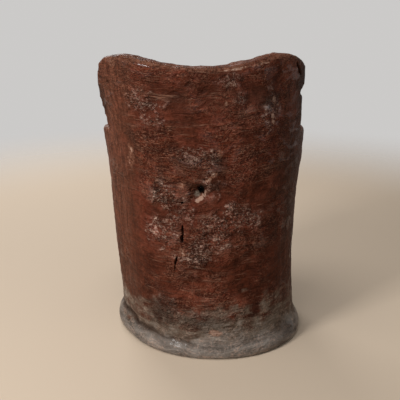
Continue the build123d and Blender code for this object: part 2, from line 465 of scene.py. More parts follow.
        # Painted glints: pale threads along the ridges of the whorls
        thread = self.thread * self.lively * (0.2 + 0.35 * self.broken)
        self._over(self.light, thread * (1.0 - 0.6 * self.flank))
        bare = self.paint[Paint.INSIDE].most(self.flank)
        self._over(self.tan, self.hairline * (1.0 - bare) * 0.5)
        # The scratches are pale wear and painted glints both
        self._over(self.tan, self.scratch * 0.6)

    def _pitted(self) -> None:
        """Dark pits, with painted highlights on the lumps and painted glints on the ridges between
        them.
        """
        pits, speck = self.pits, self.speck
        # Painted highlight: a pink sheen on the raised lumps
        self._over(self.bloom, pits * self.bulge * speck.rise(0.4, 0.58) * 0.72)
        self._over(self.black, pits * (1.0 - self.pocks.rise(0.1, 0.42)) * 0.8)
        # Painted glints: pale specks on the ridges among the pits
        painted_pit_glints = pits.rise(0.1, 0.6) * self.thread.most(self.curl) * speck.rise(0.46, 0.56)
        self._over(self.pale_crumb_and_glint, painted_pit_glints * (0.45 + 0.75 * self.bulge))

    def _foot(self) -> None:
        """The grey foot, where the wax has worn off and dust has settled, and the painted light on
        the knot hole's lower-left wall.
        """
        grey, speck = self.paint[Paint.GREY], self.speck
        worn = grey + (self.blotch - 0.5) * 0.9 + (self.along - 0.5) * 0.7 + (speck - 0.5) * 0.4
        tint = worn.rise(0.5, 1.05).mix(self.olive, self.grey)
        tint = tint.shaded((0.9 * speck + 2.0 * self.along - 0.5).most(0.25))
        marks = (speck.rise(0.58, 0.74) * worn.rise(0.5, 1.0)).most(self.scratch)
        tint = (marks.most(self.thread * self.broken) * 0.4).mix(tint, self.pale_crumb_and_glint)
        self._over(tint, worn.rise(0.16, 0.66) * grey.rise(0.0, 0.25))

    def _hollow(self) -> None:
        """The bare hollow, where the tool marks run up the grain and the wax is thin."""
        dry = self.fibre.rise(0.34, 0.7).mix(self.dry, self.light)
        dry = dry.shaded(0.1 + 0.8 * self.blotch + 0.6 * self.speck)
        ridges = self.paint[Paint.EDGE] * (0.06 + 0.24 * self.fibre.rise(0.45, 0.65))
        self._over(ridges.mix(dry, self.tan), self.paint[Paint.INSIDE] * 0.9)

    def _rim(self) -> None:
        """End grain on the top of the wall, with its edges worn lighter."""
        top = self.rings.rise(0.36, 0.62).mix(self.body, self.light)
        top = (self.checks * 0.85).mix(top.shaded(0.45 + 0.8 * self.speck), self.black)
        self._over(top, self.paint[Paint.RIM] * 0.85)
        worn = self.paint[Paint.EDGE] * self.speck.rise(0.38, 0.7)
        self._over(self.tan, worn * (1.0 - self.paint[Paint.INSIDE]) * 0.38)

    def _wear(self) -> None:
        """Worn tan spots, some of them painted highlights, smoky stains with painted shade in the
        foot's crease, and black in the cracks with painted shade in the knot's throat.
        """
        ragged = self.paint[Paint.WORN] * (0.15 + 1.1 * self.speck + 0.4 * self.broken)
        ragged = ragged.rise(0.38, 1.0)
        bared = self.speck.rise(0.42, 0.66).mix(self.light, self.tan)
        self._over((ragged.rise(0.8, 1.0) * 0.6).mix(bared, self.pale_crumb_and_glint), ragged * 0.85)
        # Smoky stains, and painted shade in the foot's crease
        self._over(self.smoke, (self.paint[Paint.SMOKE] * (0.35 + 1.1 * self.speck)).clamped())
        # Black in the cracks, and painted shade in the knot's throat
        self._over(self.black, self.paint[Paint.SCAR])

    def _gloss(self) -> Socket:
        """How much wax lies on the surface: most on the lumps, least where the wood is bare.

        Returns:
            The weight of the wax.
        """
        pitted = 0.75 * self.pits * (0.2 + 0.8 * self.bulge)
        gloss = 0.02 + 0.4 * self.bulge * self.lively + pitted + 0.08 * self.paint[Paint.GREY]
        bare = {Paint.INSIDE: 0.9, Paint.RIM: 0.8, Paint.EDGE: 0.7, Paint.SCAR: 1.0}
        for kind, amount in bare.items():
            gloss = gloss * (1.0 - amount * self.paint[kind])
        return gloss

    def _height(self) -> Socket:
        """The relief that is too fine for the mesh.

        Returns:
            Metres above the mesh.
        """
        relief, paint = self.relief, self.paint
        hewn = self.stroke * relief.stroke + self.whorl * relief.whorl + self.thread * relief.thread
        height = hewn * self.lively + self.lump * relief.lump + self.blotch * relief.blotch
        height = height + self.speck * relief.speck + self.grit * relief.grit
        height = height + self.hairline * relief.hairline + self.scratch * relief.scratch
        height = height * (1.0 - 0.55 * paint[Paint.GREY])
        bare = self.flank.most(paint[Paint.INSIDE])
        height = height + self.fibre * (relief.fibre + relief.bare_fibre * bare)
        pitted = self.pocks.rise(0.02, 0.55) * relief.pock + self.whorl * relief.pitted_whorl
        height = height + self.pits * (pitted + self.thread * relief.pitted_thread)
        dusty = self.along * relief.dust - self.pocks.rise(0.3, 0.05) * relief.dust_pock
        rim = self.rings * relief.ring - self.checks * relief.check
        return height + paint[Paint.GREY] * dusty + paint[Paint.RIM] * rim

    def make(self) -> bpy.types.Material:
        """Builds the material.

        Returns:
            The log's material.
        """
        layers = (self._skin, self._flanks, self._pale_lines, self._pitted)
        for layer in (*layers, self._foot, self._hollow, self._rim, self._wear):
            layer()
        paint = self.paint
        bare = paint[Paint.INSIDE] * 0.2 + paint[Paint.SCAR] * 0.4 + paint[Paint.GREY] * 0.1
        roughness = 0.38 + 0.26 * self.speck + 0.16 * self.blotch + bare - 0.1 * paint[Paint.EDGE]
        fixed = {"Specular IOR Level": self.mirror, "Coat Roughness": self.wax_roughness}
        height, gloss = self._height(), self._gloss()
        return self.shader.finish(self.colour, roughness.clamped(), height, gloss, fixed)


@dataclass(frozen=True)
class BoardFinish:
    """Sawn or hewn wood of the seat and its bearers, with straight grain."""

    name: str
    grain: Grain
    deep: Colour
    body: Colour
    light: Colour
    wax: float
    bend: float = 0.012
    fibres: float = 160.0
    bands: float = 26.0
    fibre_relief: float = 0.0006
    band_relief: float = 0.0008
    wax_roughness: float = 0.3

    def make(self) -> bpy.types.Material:
        """Builds the material.

        Returns:
            The boards' material.
        """
        shader = Shader(bpy.data.materials.new(self.name))
        place = shader.place()
        bent = place.lifted(place.cloud((9.0, 9.0, 9.0)), (self.bend, self.bend, self.bend))
        fibre = bent.cloud(tuple(self.fibres * share for share in self.grain.value), 4.0, 0.6)
        bands = bent.cloud(tuple(self.bands * share for share in self.grain.value), 3.0, 0.55)
        rub = place.cloud((11.0, 11.0, 11.0), 3.0, 0.6)
        tone = bands * 0.6 + fibre * 0.4 + (rub - 0.5) * 0.35
        colour = tone.tones((0.3, self.deep), (0.5, self.body), (0.72, self.light))
        colour = (fibre.lines(0.0, 0.045) * 0.6).mix(colour.shaded(0.75 + 0.5 * fibre), self.deep)
        roughness = 0.78 - self.wax * 0.4 + 0.2 * (rub - 0.5) + 0.15 * (fibre - 0.5)
        height = fibre * self.fibre_relief + bands * self.band_relief
        fixed = {"Coat Roughness": self.wax_roughness}
        return shader.finish(colour, roughness.clamped(), height, 0.25 * self.wax, fixed)


@dataclass(frozen=True)
class IronFinish:
    """Dark forged iron of the nails."""

    name: str = "forged_nail_iron"
    dark: Colour = (0.022, 0.019, 0.017)
    rust: Colour = (0.11, 0.045, 0.02)
    scale_relief: float = 0.0005
    metallic: float = 0.85

    def make(self) -> bpy.types.Material:
        """Builds the material.

        Returns:
            The nails' material.
        """
        shader = Shader(bpy.data.materials.new(self.name))
        place = shader.place()
        scale = place.cloud((260.0, 260.0, 260.0), 4.0, 0.6)
        bloom = place.cloud((90.0, 90.0, 90.0), 3.0, 0.6).rise(0.5, 0.72)
        colour = bloom.mix(self.dark, self.rust).shaded(0.6 + 0.8 * scale)
        roughness = (0.42 + 0.25 * bloom + 0.2 * (scale - 0.5)).clamped()
        fixed = {"Metallic": self.metallic}
        return shader.finish(colour, roughness, scale * self.scale_relief, 0.0, fixed)


def step_up(values: np.ndarray, low: float, high: float | np.ndarray) -> np.ndarray:
    """A smooth step of many values, from 0 at low to 1 at high."""
    share = np.clip((values - low) / (high - low), 0.0, 1.0)
    return share * share * (3.0 - 2.0 * share)


def noise_at(points: np.ndarray, stretch: Point, octaves: int = 2) -> np.ndarray:
    """Soft noise about 0 at many points.

    Args:
        points: The points, one a row.
        stretch: How many features a metre holds along each axis.
        octaves: How many layers the noise has.

    Returns:
        One value a point.
    """
    scaled = points * np.array(stretch)
    return np.array([noise.fractal(Vector(point), 1.0, 2.0, octaves) for point in scaled])


def scallops_at(points: np.ndarray, stretch: Point) -> np.ndarray:
    """Distance from each point to the middle of the nearest tool cut, in cells."""
    scaled = points * np.array(stretch)
    return np.array([noise.voronoi(Vector(point))[0][0] for point in scaled])


@dataclass(frozen=True)
class Spot:
    """A soft, ragged oval on the log's wall."""

    centre: Point
    across: float
    up: float
    amount: float = 1.0

    def share(self, points: np.ndarray, ragged: np.ndarray) -> np.ndarray:
        """How much each point lies in the oval, which fades out a quarter beyond its outline.

        Args:
            points: The points, one a row.
            ragged: Noise that breaks up the oval's edge.

        Returns:
            A value from 0 to the oval's amount for each point.
        """
        away = points - np.array(self.centre)
        flat = np.linalg.norm(away[:, :2], axis=1) / self.across
        reach = np.sqrt(flat**2 + (away[:, 2] / self.up) ** 2)
        return self.amount * step_up(1.25 - reach + 0.5 * ragged, 0.0, 0.9)


def spread(spots: tuple[Spot, ...], points: np.ndarray, ragged: np.ndarray) -> np.ndarray:
    """What spots of one kind come to at each point, where the strongest one counts."""
    return np.max([spot.share(points, ragged) for spot in spots], axis=0)


@dataclass(frozen=True)
class Streak:
    """A narrow mark along a line on the log's wall."""

    points: tuple[Point, ...]
    width: float

    def measure(self, points: np.ndarray) -> tuple[np.ndarray, np.ndarray]:
        """How far each point is from the line, and where along it the nearest place is.

        Args:
            points: The points, one a row.

        Returns:
            Distances in metres, and places from 0 to 1 along the line.
        """
        line = np.array(self.points)
        lengths = np.linalg.norm(line[1:] - line[:-1], axis=1)
        starts = np.concatenate([[0.0], np.cumsum(lengths)]) / lengths.sum()
        best = np.full(len(points), np.inf)
        along = np.zeros(len(points))
        for number, length in enumerate(lengths):
            direction = (line[number + 1] - line[number]) / length
            place = np.clip((points - line[number]) @ direction, 0.0, length)
            gap = np.linalg.norm(points - line[number] - place[:, None] * direction, axis=1)
            nearer = gap < best
            best = np.where(nearer, gap, best)
            along = np.where(nearer, starts[number] + place / lengths.sum(), along)
        return best, along

    def share(self, points: np.ndarray) -> np.ndarray:
        """How much each point lies in the mark, which is widest halfway along its line.

        Args:
            points: The points, one a row.

        Returns:
            A value from 0 beside the mark to 1 in its middle.
        """
        gap, along = self.measure(points)
        half = self.width / 2 * np.sqrt(np.clip(1.0 - (2.0 * along - 1.0) ** 2, 0.02, 1.0))
        return 1.0 - step_up(gap / half, 0.35, 1.25)


@dataclass(frozen=True)
class Crack(Streak):
    """A drying crack along a line on the log's wall."""

    depth: float


@dataclass(frozen=True)
class Check:
    """A long drying check that runs up the grain, by its turn round the log in degrees."""

    turn: float
    low: float
    high: float
    lean: float
    width: float
    depth: float
    bends: int = 7
    wander: float = 1.1
    waves: float = 9.0
    log_radius: float = 0.25

    def traced(self, skin: np.ndarray) -> Crack:
        """Args:
            skin: The points on the log's outside, one a row.

        Returns:
            The check as a crack along points of the wall.
        """
        turns = np.degrees(np.arctan2(skin[:, 1], skin[:, 0]))
        line = []
        for share in np.linspace(0.0, 1.0, self.bends):
            turn = self.turn + self.lean * share
            turn += self.wander * math.sin(self.waves * share + self.turn)
            height = self.low + (self.high - self.low) * share
            off = np.radians((turns - turn + 180.0) % 360.0 - 180.0) * self.log_radius
            line.append(tuple(skin[np.argmin(off**2 + (skin[:, 2] - height) ** 2)]))
        return Crack(tuple(line), self.width, self.depth)


def remeshed_copy(
    node: bpy.types.Object, name: str, voxel: float, passes: int
) -> bpy.types.Object:
    """A copy of a node's mesh, with its loose triangles joined and made into even squares.

    Args:
        node: The node's object.
        name: The new piece's name.
        voxel: The squares' side.
        passes: How many times the mesh is smoothed.

    Returns:
        The new piece, at the origin.
    """
    rough = bpy.data.meshes.new(name)
    shape = bmesh.new()
    shape.from_mesh(node.data)
    bmesh.ops.remove_doubles(shape, verts=shape.verts, dist=1e-6)
    shape.to_mesh(rough)
    piece = bpy.data.objects.new(name, rough)
    bpy.context.scene.collection.objects.link(piece)
    even = piece.modifiers.new("even", "REMESH")
    even.mode = "VOXEL"
    even.voxel_size = voxel
    depsgraph = bpy.context.evaluated_depsgraph_get()
    mesh = bpy.data.meshes.new_from_object(piece.evaluated_get(depsgraph))
    piece.modifiers.clear()
    shape.clear()
    shape.from_mesh(mesh)
    axes = {"use_axis_x": True, "use_axis_y": True, "use_axis_z": True}
    for _ in range(passes):
        bmesh.ops.smooth_vert(shape, verts=shape.verts, factor=0.5, **axes)
    shape.to_mesh(mesh)
    shape.free()
    piece.data = mesh
    bpy.data.meshes.remove(rough)
    return piece


def read_points(mesh: bpy.types.Mesh) -> tuple[np.ndarray, np.ndarray]:
    """The places and normals of a mesh's points, one a row.

    Args:
        mesh: The mesh.

    Returns:
        Places and normals.
    """
    places, normals = np.zeros((2, len(mesh.vertices) * 3))
    mesh.vertices.foreach_get("co", places)
    mesh.vertices.foreach_get("normal", normals)
    return places.reshape(-1, 3), normals.reshape(-1, 3)


def write_points(mesh: bpy.types.Mesh, places: np.ndarray) -> None:
    """Moves a mesh's points and shades it smooth.

    Args:
        mesh: The mesh.
        places: The points' new places, one a row.
    """
    mesh.vertices.foreach_set("co", places.ravel())
    mesh.polygons.foreach_set("use_smooth", [True] * len(mesh.polygons))
    mesh.update()


@dataclass(frozen=True)
class Skin:
    """The log's points, one a row, with what decides how each is shaped and painted.

    Outside, inside, rim and edge say from 0 to 1 how much a point lies there. Cuts is how far it
    is from the nearest tool cut's middle, and ragged a noise for broken edges. Sunk is how deep
    the cracks are in metres, and scar the share of each one's own depth.
    """

    places: np.ndarray
    normals: np.ndarray
    outside: np.ndarray
    inside: np.ndarray
    rim: np.ndarray
    edge: np.ndarray
    cuts: np.ndarray
    ragged: np.ndarray
    sunk: np.ndarray
    scar: np.ndarray


@dataclass(frozen=True)
class KnotHole:
    """The hole that a dead branch left in the back, lined with the branch's wood.

    The lining is shallow on the lower left of the hole and deep on its upper right. Painted light
    lies on the lower-left wall and painted shade on the upper right and down the throat. These
    marks lie on an upright plane as it is seen from above, so a deeper point looks higher.
    """

    centre: Point = (0.012, 0.238, 0.465)
    shift: Flat = (-0.001, -0.0095)
    shifted: Ends = (0.062, 0.022)
    back_wall: Ends = (0.12, 0.17)
    finely_meshed: float = 0.034
    throat: Ends = (0.0225, 0.019)
    throat_depth: Ends = (0.168, 0.188)
    throat_aim: Flat = (-0.004, 0.004)
    throat_pull: float = 0.8
    mouth: float = 0.246
    stump_depth: float = 0.01
    upper_depth: float = 0.018
    upper_side: Ends = (0.0, 0.01)
    lip: Ends = (0.036, 0.026)
    lip_depth: Ends = (0.202, 0.21)
    # Depths below which the throat is painted black as shade
    dark_depth: Ends = (0.232, 0.222)
    plane: float = 0.248
    wall: float = 0.25
    view_slope: float = 0.33
    # Painted shade on the hole's upper right, and painted light on its lower-left wall
    dark: Spot = Spot((0.007, 0.248, 0.476), 0.01, 0.0125, 1.4)
    painted_light_lower_wall: Spot = Spot((0.019, 0.248, 0.464), 0.012, 0.0125, 0.62)
    worn_lip: tuple[Spot, ...] = (
        Spot((-0.003, 0.248, 0.47), 0.0045, 0.007, 1.4),
        Spot((-0.001, 0.248, 0.46), 0.0065, 0.008, 1.6),
        Spot((0.008, 0.248, 0.45), 0.0095, 0.008, 1.6),
        Spot((0.0165, 0.248, 0.4455), 0.0085, 0.007, 1.5),
    )

    def _away(self, places: np.ndarray) -> np.ndarray:
        """How far each point is across and up from the hole's middle."""
        return places[:, [0, 2]] - np.array(self.centre)[[0, 2]]

    def moved(self, places: np.ndarray) -> np.ndarray:
        """Shifts the hole a little down the wall, to where the branch's mouth lies.

        Args:
            places: The log's points.

        Returns:
            The points with the hole at its place.
        """
        away = np.linalg.norm(self._away(places) + np.array(self.shift), axis=1)
        share = step_up(away, *self.shifted) * step_up(places[:, 1], *self.back_wall)
        moved = places.copy()
        moved[:, [0, 2]] += share[:, None] * np.array(self.shift)
        return moved

    def funnel(self, places: np.ndarray) -> np.ndarray:
        """Draws the throat in behind the mouth, where the branch's wood still lines it.

        Args:
            places: The log's points.

        Returns:
            The points with a narrower throat.
        """
        away = self._away(places)
        upper = step_up(away[:, 1] - away[:, 0], *self.upper_side)
        behind = self.mouth - places[:, 1]
        pull = step_up(np.linalg.norm(away, axis=1), *self.throat)
        pull *= step_up(places[:, 1], *self.throat_depth)
        pull *= step_up(behind, 0.0, self.stump_depth + self.upper_depth * upper)
        drawn = places.copy()
        drawn[:, [0, 2]] += self.throat_pull * pull[:, None] * (np.array(self.throat_aim) - away)
        return drawn

    def painted(self, places: np.ndarray) -> tuple[np.ndarray, dict[Paint, np.ndarray]]:
        """The hole's lip, what is painted on the lip, and the painted light and shade inside it.

        Args:
            places: The log's points, before the throat is drawn in.

        Returns:
            How near each point is to the hole, and the paint's shares.
        """
        final = self.funnel(places)
        deep = final[:, 1]
        near = step_up(np.linalg.norm(self._away(final), axis=1), *self.lip)
        near *= step_up(deep, *self.lip_depth)
        seen = final.copy()
        seen[:, 1] = self.plane
        seen[:, 2] += self.view_slope * (self.wall - deep)
        even = np.zeros(len(final))
        # Painted shade: black on the upper right and down the throat
        dark = near * np.maximum(self.dark.share(seen, even), step_up(deep, *self.dark_depth))
        worn = near * spread(self.worn_lip, seen, even) * np.clip(1.0 - dark, 0.0, 1.0)
        # Painted light: grey on the hole's lower-left wall
        painted_light_lower_wall = near * self.painted_light_lower_wall.share(seen, even)
        return near, {Paint.SCAR: dark, Paint.GREY: painted_light_lower_wall, Paint.WORN: worn}


@dataclass(frozen=True)
class Foot:
    """The log's foot: its rolled lip, the crease that wanders above it, and its grey dust."""

    lip_height: float = 0.047
    lip_rise: float = 0.0022
    lip_width: float = 0.016
    crease_depth: float = 0.0064
    crease_width: float = 0.009
    # How far the crease leaves its height: in two waves round the foot, by noise, and raggedly
    waves: float = 0.006
    wander: float = 0.016
    fray: float = 0.008
    band: Ends = (0.068, 0.034)
    band_wander: float = 0.03
    band_fray: float = 0.012
    dust: Ends = (0.212, 0.058)
    dust_fray: float = 0.045
    dust_share: float = 0.76
    # Dust is thickest round this turn, in degrees, and thins out away from it
    dusty_turn: float = 118.0
    dusty_reach: Ends = (42.0, 18.0)
    thin_dust_share: float = 0.7
    sole: Ends = (0.01, 0.004)

    def rolled(self, places: np.ndarray, ragged: np.ndarray) -> tuple[np.ndarray, np.ndarray]:
        """The rolled lip and the crease, which is deepest at the sitter's left of the back.

        Args:
            places: The log's points.
            ragged: Noise for broken edges.

        Returns:
            Metres for each point, and how much it lies in the crease, which is painted dark as
            shade.
        """
        turn = np.arctan2(places[:, 1], places[:, 0])
        bend = noise_at(places, (9.0, 9.0, 5.0))
        height = self.lip_height + self.waves * np.sin(2.0 * turn + 0.6)
        height += self.wander * bend + self.fray * ragged
        strength = np.clip(0.1 + 0.9 * np.cos(turn / 2.0 - 0.22) ** 8 + 0.45 * bend, 0.0, 1.0)
        crease = np.exp(-(((places[:, 2] - height) / self.crease_width) ** 2)) * strength
        roll = np.exp(-(((places[:, 2] - height * 0.45) / self.lip_width) ** 2))
        return self.lip_rise * roll - self.crease_depth * crease, crease

    def greyed(self, places: np.ndarray, ragged: np.ndarray, outside: np.ndarray) -> np.ndarray:
        """How grey each point is.

        Args:
            places: The log's points.
            ragged: Noise for broken edges.
            outside: How much each point is on the outside.

        Returns:
            A value from 0 to 1 for each point.
        """
        turn = np.degrees(np.arctan2(places[:, 1], places[:, 0]))
        thick = step_up(np.abs(turn - self.dusty_turn), *self.dusty_reach)
        thick = self.thin_dust_share + (1.0 - self.thin_dust_share) * thick
        low = places[:, 2] + self.band_wander * noise_at(places, (8.0, 8.0, 6.0))
        band = step_up(low + self.band_fray * ragged, *self.band)
        dust = step_up(places[:, 2] + self.dust_fray * ragged, *self.dust) * thick
        grey = np.maximum(band, self.dust_share * dust)
        return grey * np.maximum(outside, step_up(places[:, 2], *self.sole))


@dataclass(frozen=True)
class HollowLog:
    """The chair's one log: foot, walls, arms and back, hewn, cracked, pitted and worn."""

    node: bpy.types.Object
    voxel: float = 0.0057
    crack_margin: float = 0.004
    knot: KnotHole = KnotHole()
    foot: Foot = Foot()
    # How far the tools and the years have left the surface uneven, in metres
    hewing: float = 0.002
    rippling: float = 0.001
    pitting: float = 0.0024
    scalloping: float = 0.01
    rim_waves: float = 0.0016
    rim_chips: float = 0.0012
    ripple_bend: float = 0.02
    cut_size: Point = (24.0, 24.0, 11.0)
    rim_above: Ends = (0.3, 0.34)
    clear_above: Ends = (0.002, 0.016)
    cracks: tuple[Crack, ...] = (
        Crack(
            ((0.0545, 0.238, 0.375), (0.055, 0.237, 0.362), (0.0535, 0.237, 0.345)), 0.006, 0.016
        ),
        Crack(
            ((0.057, 0.237, 0.349), (0.0575, 0.237, 0.338), (0.055, 0.236, 0.326)), 0.0075, 0.018
        ),
        Crack(((0.0695, 0.23, 0.288), (0.074, 0.229, 0.27), (0.075, 0.228, 0.262)), 0.0052, 0.012),
        Crack(
            ((0.0745, 0.228, 0.264), (0.076, 0.227, 0.252), (0.0755, 0.227, 0.243)), 0.004, 0.007
        ),
        Crack(
            ((-0.231, 0.147, 0.776), (-0.24, 0.134, 0.752), (-0.245, 0.126, 0.738)), 0.0085, 0.014
        ),
        Crack(((0.2405, 0.154, 0.729), (0.241, 0.154, 0.723)), 0.0085, 0.008),
        Crack(((0.056, 0.24, 0.439), (0.0555, 0.24, 0.432)), 0.008, 0.006),
    )
    # Painted highlight: a pale broken line along the crest's rear edge
    crest_highlight_line: Streak = Streak(
        (
            (-0.018, 0.2545, 0.767),
            (-0.061, 0.249, 0.77),
            (-0.096, 0.24, 0.776),
            (-0.133, 0.224, 0.7805),
            (-0.158, 0.2107, 0.784),
        ),
        0.0085,
    )
    checks: tuple[Check, ...] = (
        Check(-78.0, 0.155, 0.372, 3.0, 0.0044, 0.012),
        Check(-104.0, 0.07, 0.235, -3.0, 0.0036, 0.009),
        Check(-58.0, 0.06, 0.17, 2.0, 0.0034, 0.008),
        Check(-128.0, 0.25, 0.4, -2.0, 0.004, 0.01),
        Check(-16.0, 0.3, 0.5, -3.0, 0.0042, 0.011),
        Check(12.0, 0.09, 0.26, 2.0, 0.0036, 0.009),
        Check(-168.0, 0.33, 0.56, 2.0, 0.0042, 0.011),
        Check(166.0, 0.11, 0.25, -2.0, 0.0036, 0.008),
    )
    dents: tuple[Spot, ...] = (
        Spot((-0.256, 0.1, 0.692), 0.022, 0.012, -0.006),
        Spot((0.262, 0.094, 0.7), 0.02, 0.02, -0.002),
        Spot((-0.017, 0.25, 0.506), 0.016, 0.008, 0.004),
        Spot((-0.03, 0.25, 0.515), 0.014, 0.007, 0.0035),
        Spot((0.01, 0.25, 0.443), 0.018, 0.006, 0.004),
        Spot((0.04, 0.246, 0.5), 0.03, 0.016, -0.003),
        Spot((0.02, 0.25, 0.556), 0.05, 0.03, -0.0035),
        Spot((0.1, 0.226, 0.4), 0.06, 0.05, -0.003),
        Spot((-0.17, 0.203, 0.665), 0.05, 0.045, -0.003),
        Spot((0.15, 0.218, 0.684), 0.05, 0.035, -0.003),
    )
    pitted: tuple[Spot, ...] = (
        Spot((0.15, 0.22, 0.69), 0.055, 0.035),
        Spot((0.127, 0.226, 0.65), 0.035, 0.02),
        Spot((0.015, 0.25, 0.56), 0.06, 0.032),
        Spot((0.105, 0.223, 0.45), 0.045, 0.04),
        Spot((0.11, 0.218, 0.35), 0.07, 0.045),
        Spot((0.06, 0.238, 0.41), 0.05, 0.045),
        Spot((-0.02, 0.245, 0.35), 0.06, 0.055),
        Spot((0.02, 0.243, 0.29), 0.06, 0.045),
        Spot((-0.08, 0.24, 0.4), 0.06, 0.05),
        Spot((-0.12, 0.225, 0.39), 0.04, 0.035),
        Spot((-0.172, 0.202, 0.68), 0.026, 0.05, 0.8),
        Spot((-0.15, 0.215, 0.64), 0.04, 0.03, 0.5),
        Spot((-0.088, 0.243, 0.69), 0.024, 0.03, 0.7),
        Spot((-0.07, 0.247, 0.745), 0.05, 0.018, 0.6),
        Spot((-0.02, 0.25, 0.48), 0.035, 0.045, 0.7),
        Spot((0.11, 0.21, 0.12), 0.045, 0.06, 0.8),
        Spot((0.02, 0.24, 0.105), 0.11, 0.028, 0.8),
    )
    worn: tuple[Spot, ...] = (
        Spot((-0.01, 0.251, 0.498), 0.01, 0.006, 1.3),
        Spot((-0.018, 0.251, 0.505), 0.009, 0.006, 1.3),
        Spot((-0.025, 0.251, 0.514), 0.009, 0.009, 1.3),
        Spot((0.186, 0.172, 0.54), 0.022, 0.04, 0.82),
        Spot((0.058, 0.241, 0.481), 0.014, 0.02, 0.8),
        Spot((-0.04, 0.25, 0.57), 0.012, 0.025, 0.7),
        Spot((-0.002, 0.25, 0.59), 0.04, 0.012, 0.5),
        Spot((0.056, 0.236, 0.3), 0.016, 0.024, 0.8),
        Spot((-0.034, 0.242, 0.071), 0.027, 0.013, 1.3),
        Spot((0.228, 0.09, 0.4), 0.016, 0.08, 0.45),
        Spot((0.226, 0.12, 0.52), 0.02, 0.09, 0.35),
        # Painted highlight on the top left corner
        Spot((0.225, 0.182, 0.78), 0.02, 0.016, 0.6),
        Spot((-0.1, 0.24, 0.665), 0.014, 0.014, 0.6),
        # Painted glints: three short upright dashes on the right of the back
        Spot((-0.174, 0.2, 0.692), 0.006, 0.012, 1.3),
        Spot((-0.171, 0.202, 0.651), 0.006, 0.01, 1.3),
        Spot((-0.173, 0.201, 0.634), 0.007, 0.006, 1.2),
        Spot((-0.052, 0.25, 0.69), 0.008, 0.01, 0.9),
    )
    smoky: tuple[Spot, ...] = (
        Spot((-0.255, 0.11, 0.7), 0.04, 0.11, 0.8),
        Spot((0.258, 0.11, 0.7), 0.022, 0.09, 0.6),
        Spot((-0.14, 0.225, 0.7), 0.08, 0.03, 0.5),
        Spot((-0.02, 0.25, 0.7), 0.15, 0.07, 0.25),
        Spot((-0.01, 0.251, 0.535), 0.06, 0.03, 0.2),
        Spot((0.02, 0.25, 0.484), 0.03, 0.012, 0.7),
        Spot((-0.032, 0.25, 0.484), 0.02, 0.018, 0.7),
        Spot((0.118, 0.205, 0.125), 0.055, 0.06, 0.75),
        Spot((0.02, 0.245, 0.105), 0.09, 0.022, 0.55),
        Spot((0.122, 0.215, 0.038), 0.035, 0.02, 0.4),
        Spot((-0.208, 0.15, 0.042), 0.06, 0.05, 0.5),
        Spot((-0.21, 0.12, 0.45), 0.07, 0.2, 0.4),
    )

    def build(self) -> bpy.types.Object:
        """Makes the log.

        Returns:
            The finished piece.
        """
        piece = remeshed_copy(self.node, "hewn_log", self.voxel, 2)
        places, normals = read_points(piece.data)
        wall = places[step_up(self._facing(places, normals), 0.05, 0.55) > 0.5]
        cracks = self.cracks + tuple(check.traced(wall) for check in self.checks)
        write_points(piece.data, self.knot.moved(places))
        self._refine(piece.data, cracks)
        skin = self._skin(piece.data, cracks)
        self._paint(piece.data, skin)
        lifted = skin.places + skin.normals * self._relief(skin)[:, None]
        write_points(piece.data, self.knot.funnel(lifted))
        piece.data.materials.append(LogFinish().make())
        return piece

    def _refine(self, mesh: bpy.types.Mesh, cracks: tuple[Crack, ...]) -> None:
        """Divides the mesh round the cracks and the knot hole.

        Args:
            mesh: The log's mesh.
            cracks: The cracks.
        """
        shape = bmesh.new()
        shape.from_mesh(mesh)
        centres = np.array([face.calc_center_median() for face in shape.faces])
        from_knot = np.linalg.norm(centres - np.array(self.knot.centre), axis=1)
        near = from_knot < self.knot.finely_meshed
        for crack in cracks:
            near |= crack.measure(centres)[0] < 0.7 * crack.width + self.crack_margin
        shape.faces.ensure_lookup_table()
        edges = {edge for number in np.flatnonzero(near) for edge in shape.faces[int(number)].edges}
        bmesh.ops.subdivide_edges(shape, edges=list(edges), cuts=2, use_grid_fill=True)
        bmesh.ops.triangulate(shape, faces=[face for face in shape.faces if len(face.verts) > 4])
        shape.to_mesh(mesh)
        shape.free()

    @staticmethod
    def _facing(places: np.ndarray, normals: np.ndarray) -> np.ndarray:
        """How squarely each point faces away from the log's middle, from -1 to 1."""
        out = places[:, :2] / np.linalg.norm(places[:, :2], axis=1)[:, None]
        return (normals[:, :2] * out).sum(axis=1)

    def _skin(self, mesh: bpy.types.Mesh, cracks: tuple[Crack, ...]) -> Skin:
        """Reads the log's points and sorts them.

        Args:
            mesh: The log's mesh.
            cracks: The cracks.

        Returns:
            The points, with what decides how each is shaped and painted.
        """
        places, normals = read_points(mesh)
        facing = self._facing(places, normals)
        outside = step_up(facing, 0.05, 0.55)
        level, above = normals[:, 2], step_up(places[:, 2], *self.rim_above)
        scars = [crack.share(places) * outside for crack in cracks]
        return Skin(
            places=places,
            normals=normals,
            outside=outside,
            inside=step_up(-facing, 0.05, 0.55),
            rim=step_up(level, 0.35, 0.85) * above,
            edge=step_up(level, 0.12, 0.45) * step_up(level, 0.92, 0.65) * above,
            cuts=scallops_at(places, self.cut_size),
            ragged=noise_at(places, (34.0, 34.0, 40.0), 3),
            sunk=np.max([scar * crack.depth for scar, crack in zip(scars, cracks)], axis=0),
            scar=np.max(scars, axis=0),
        )

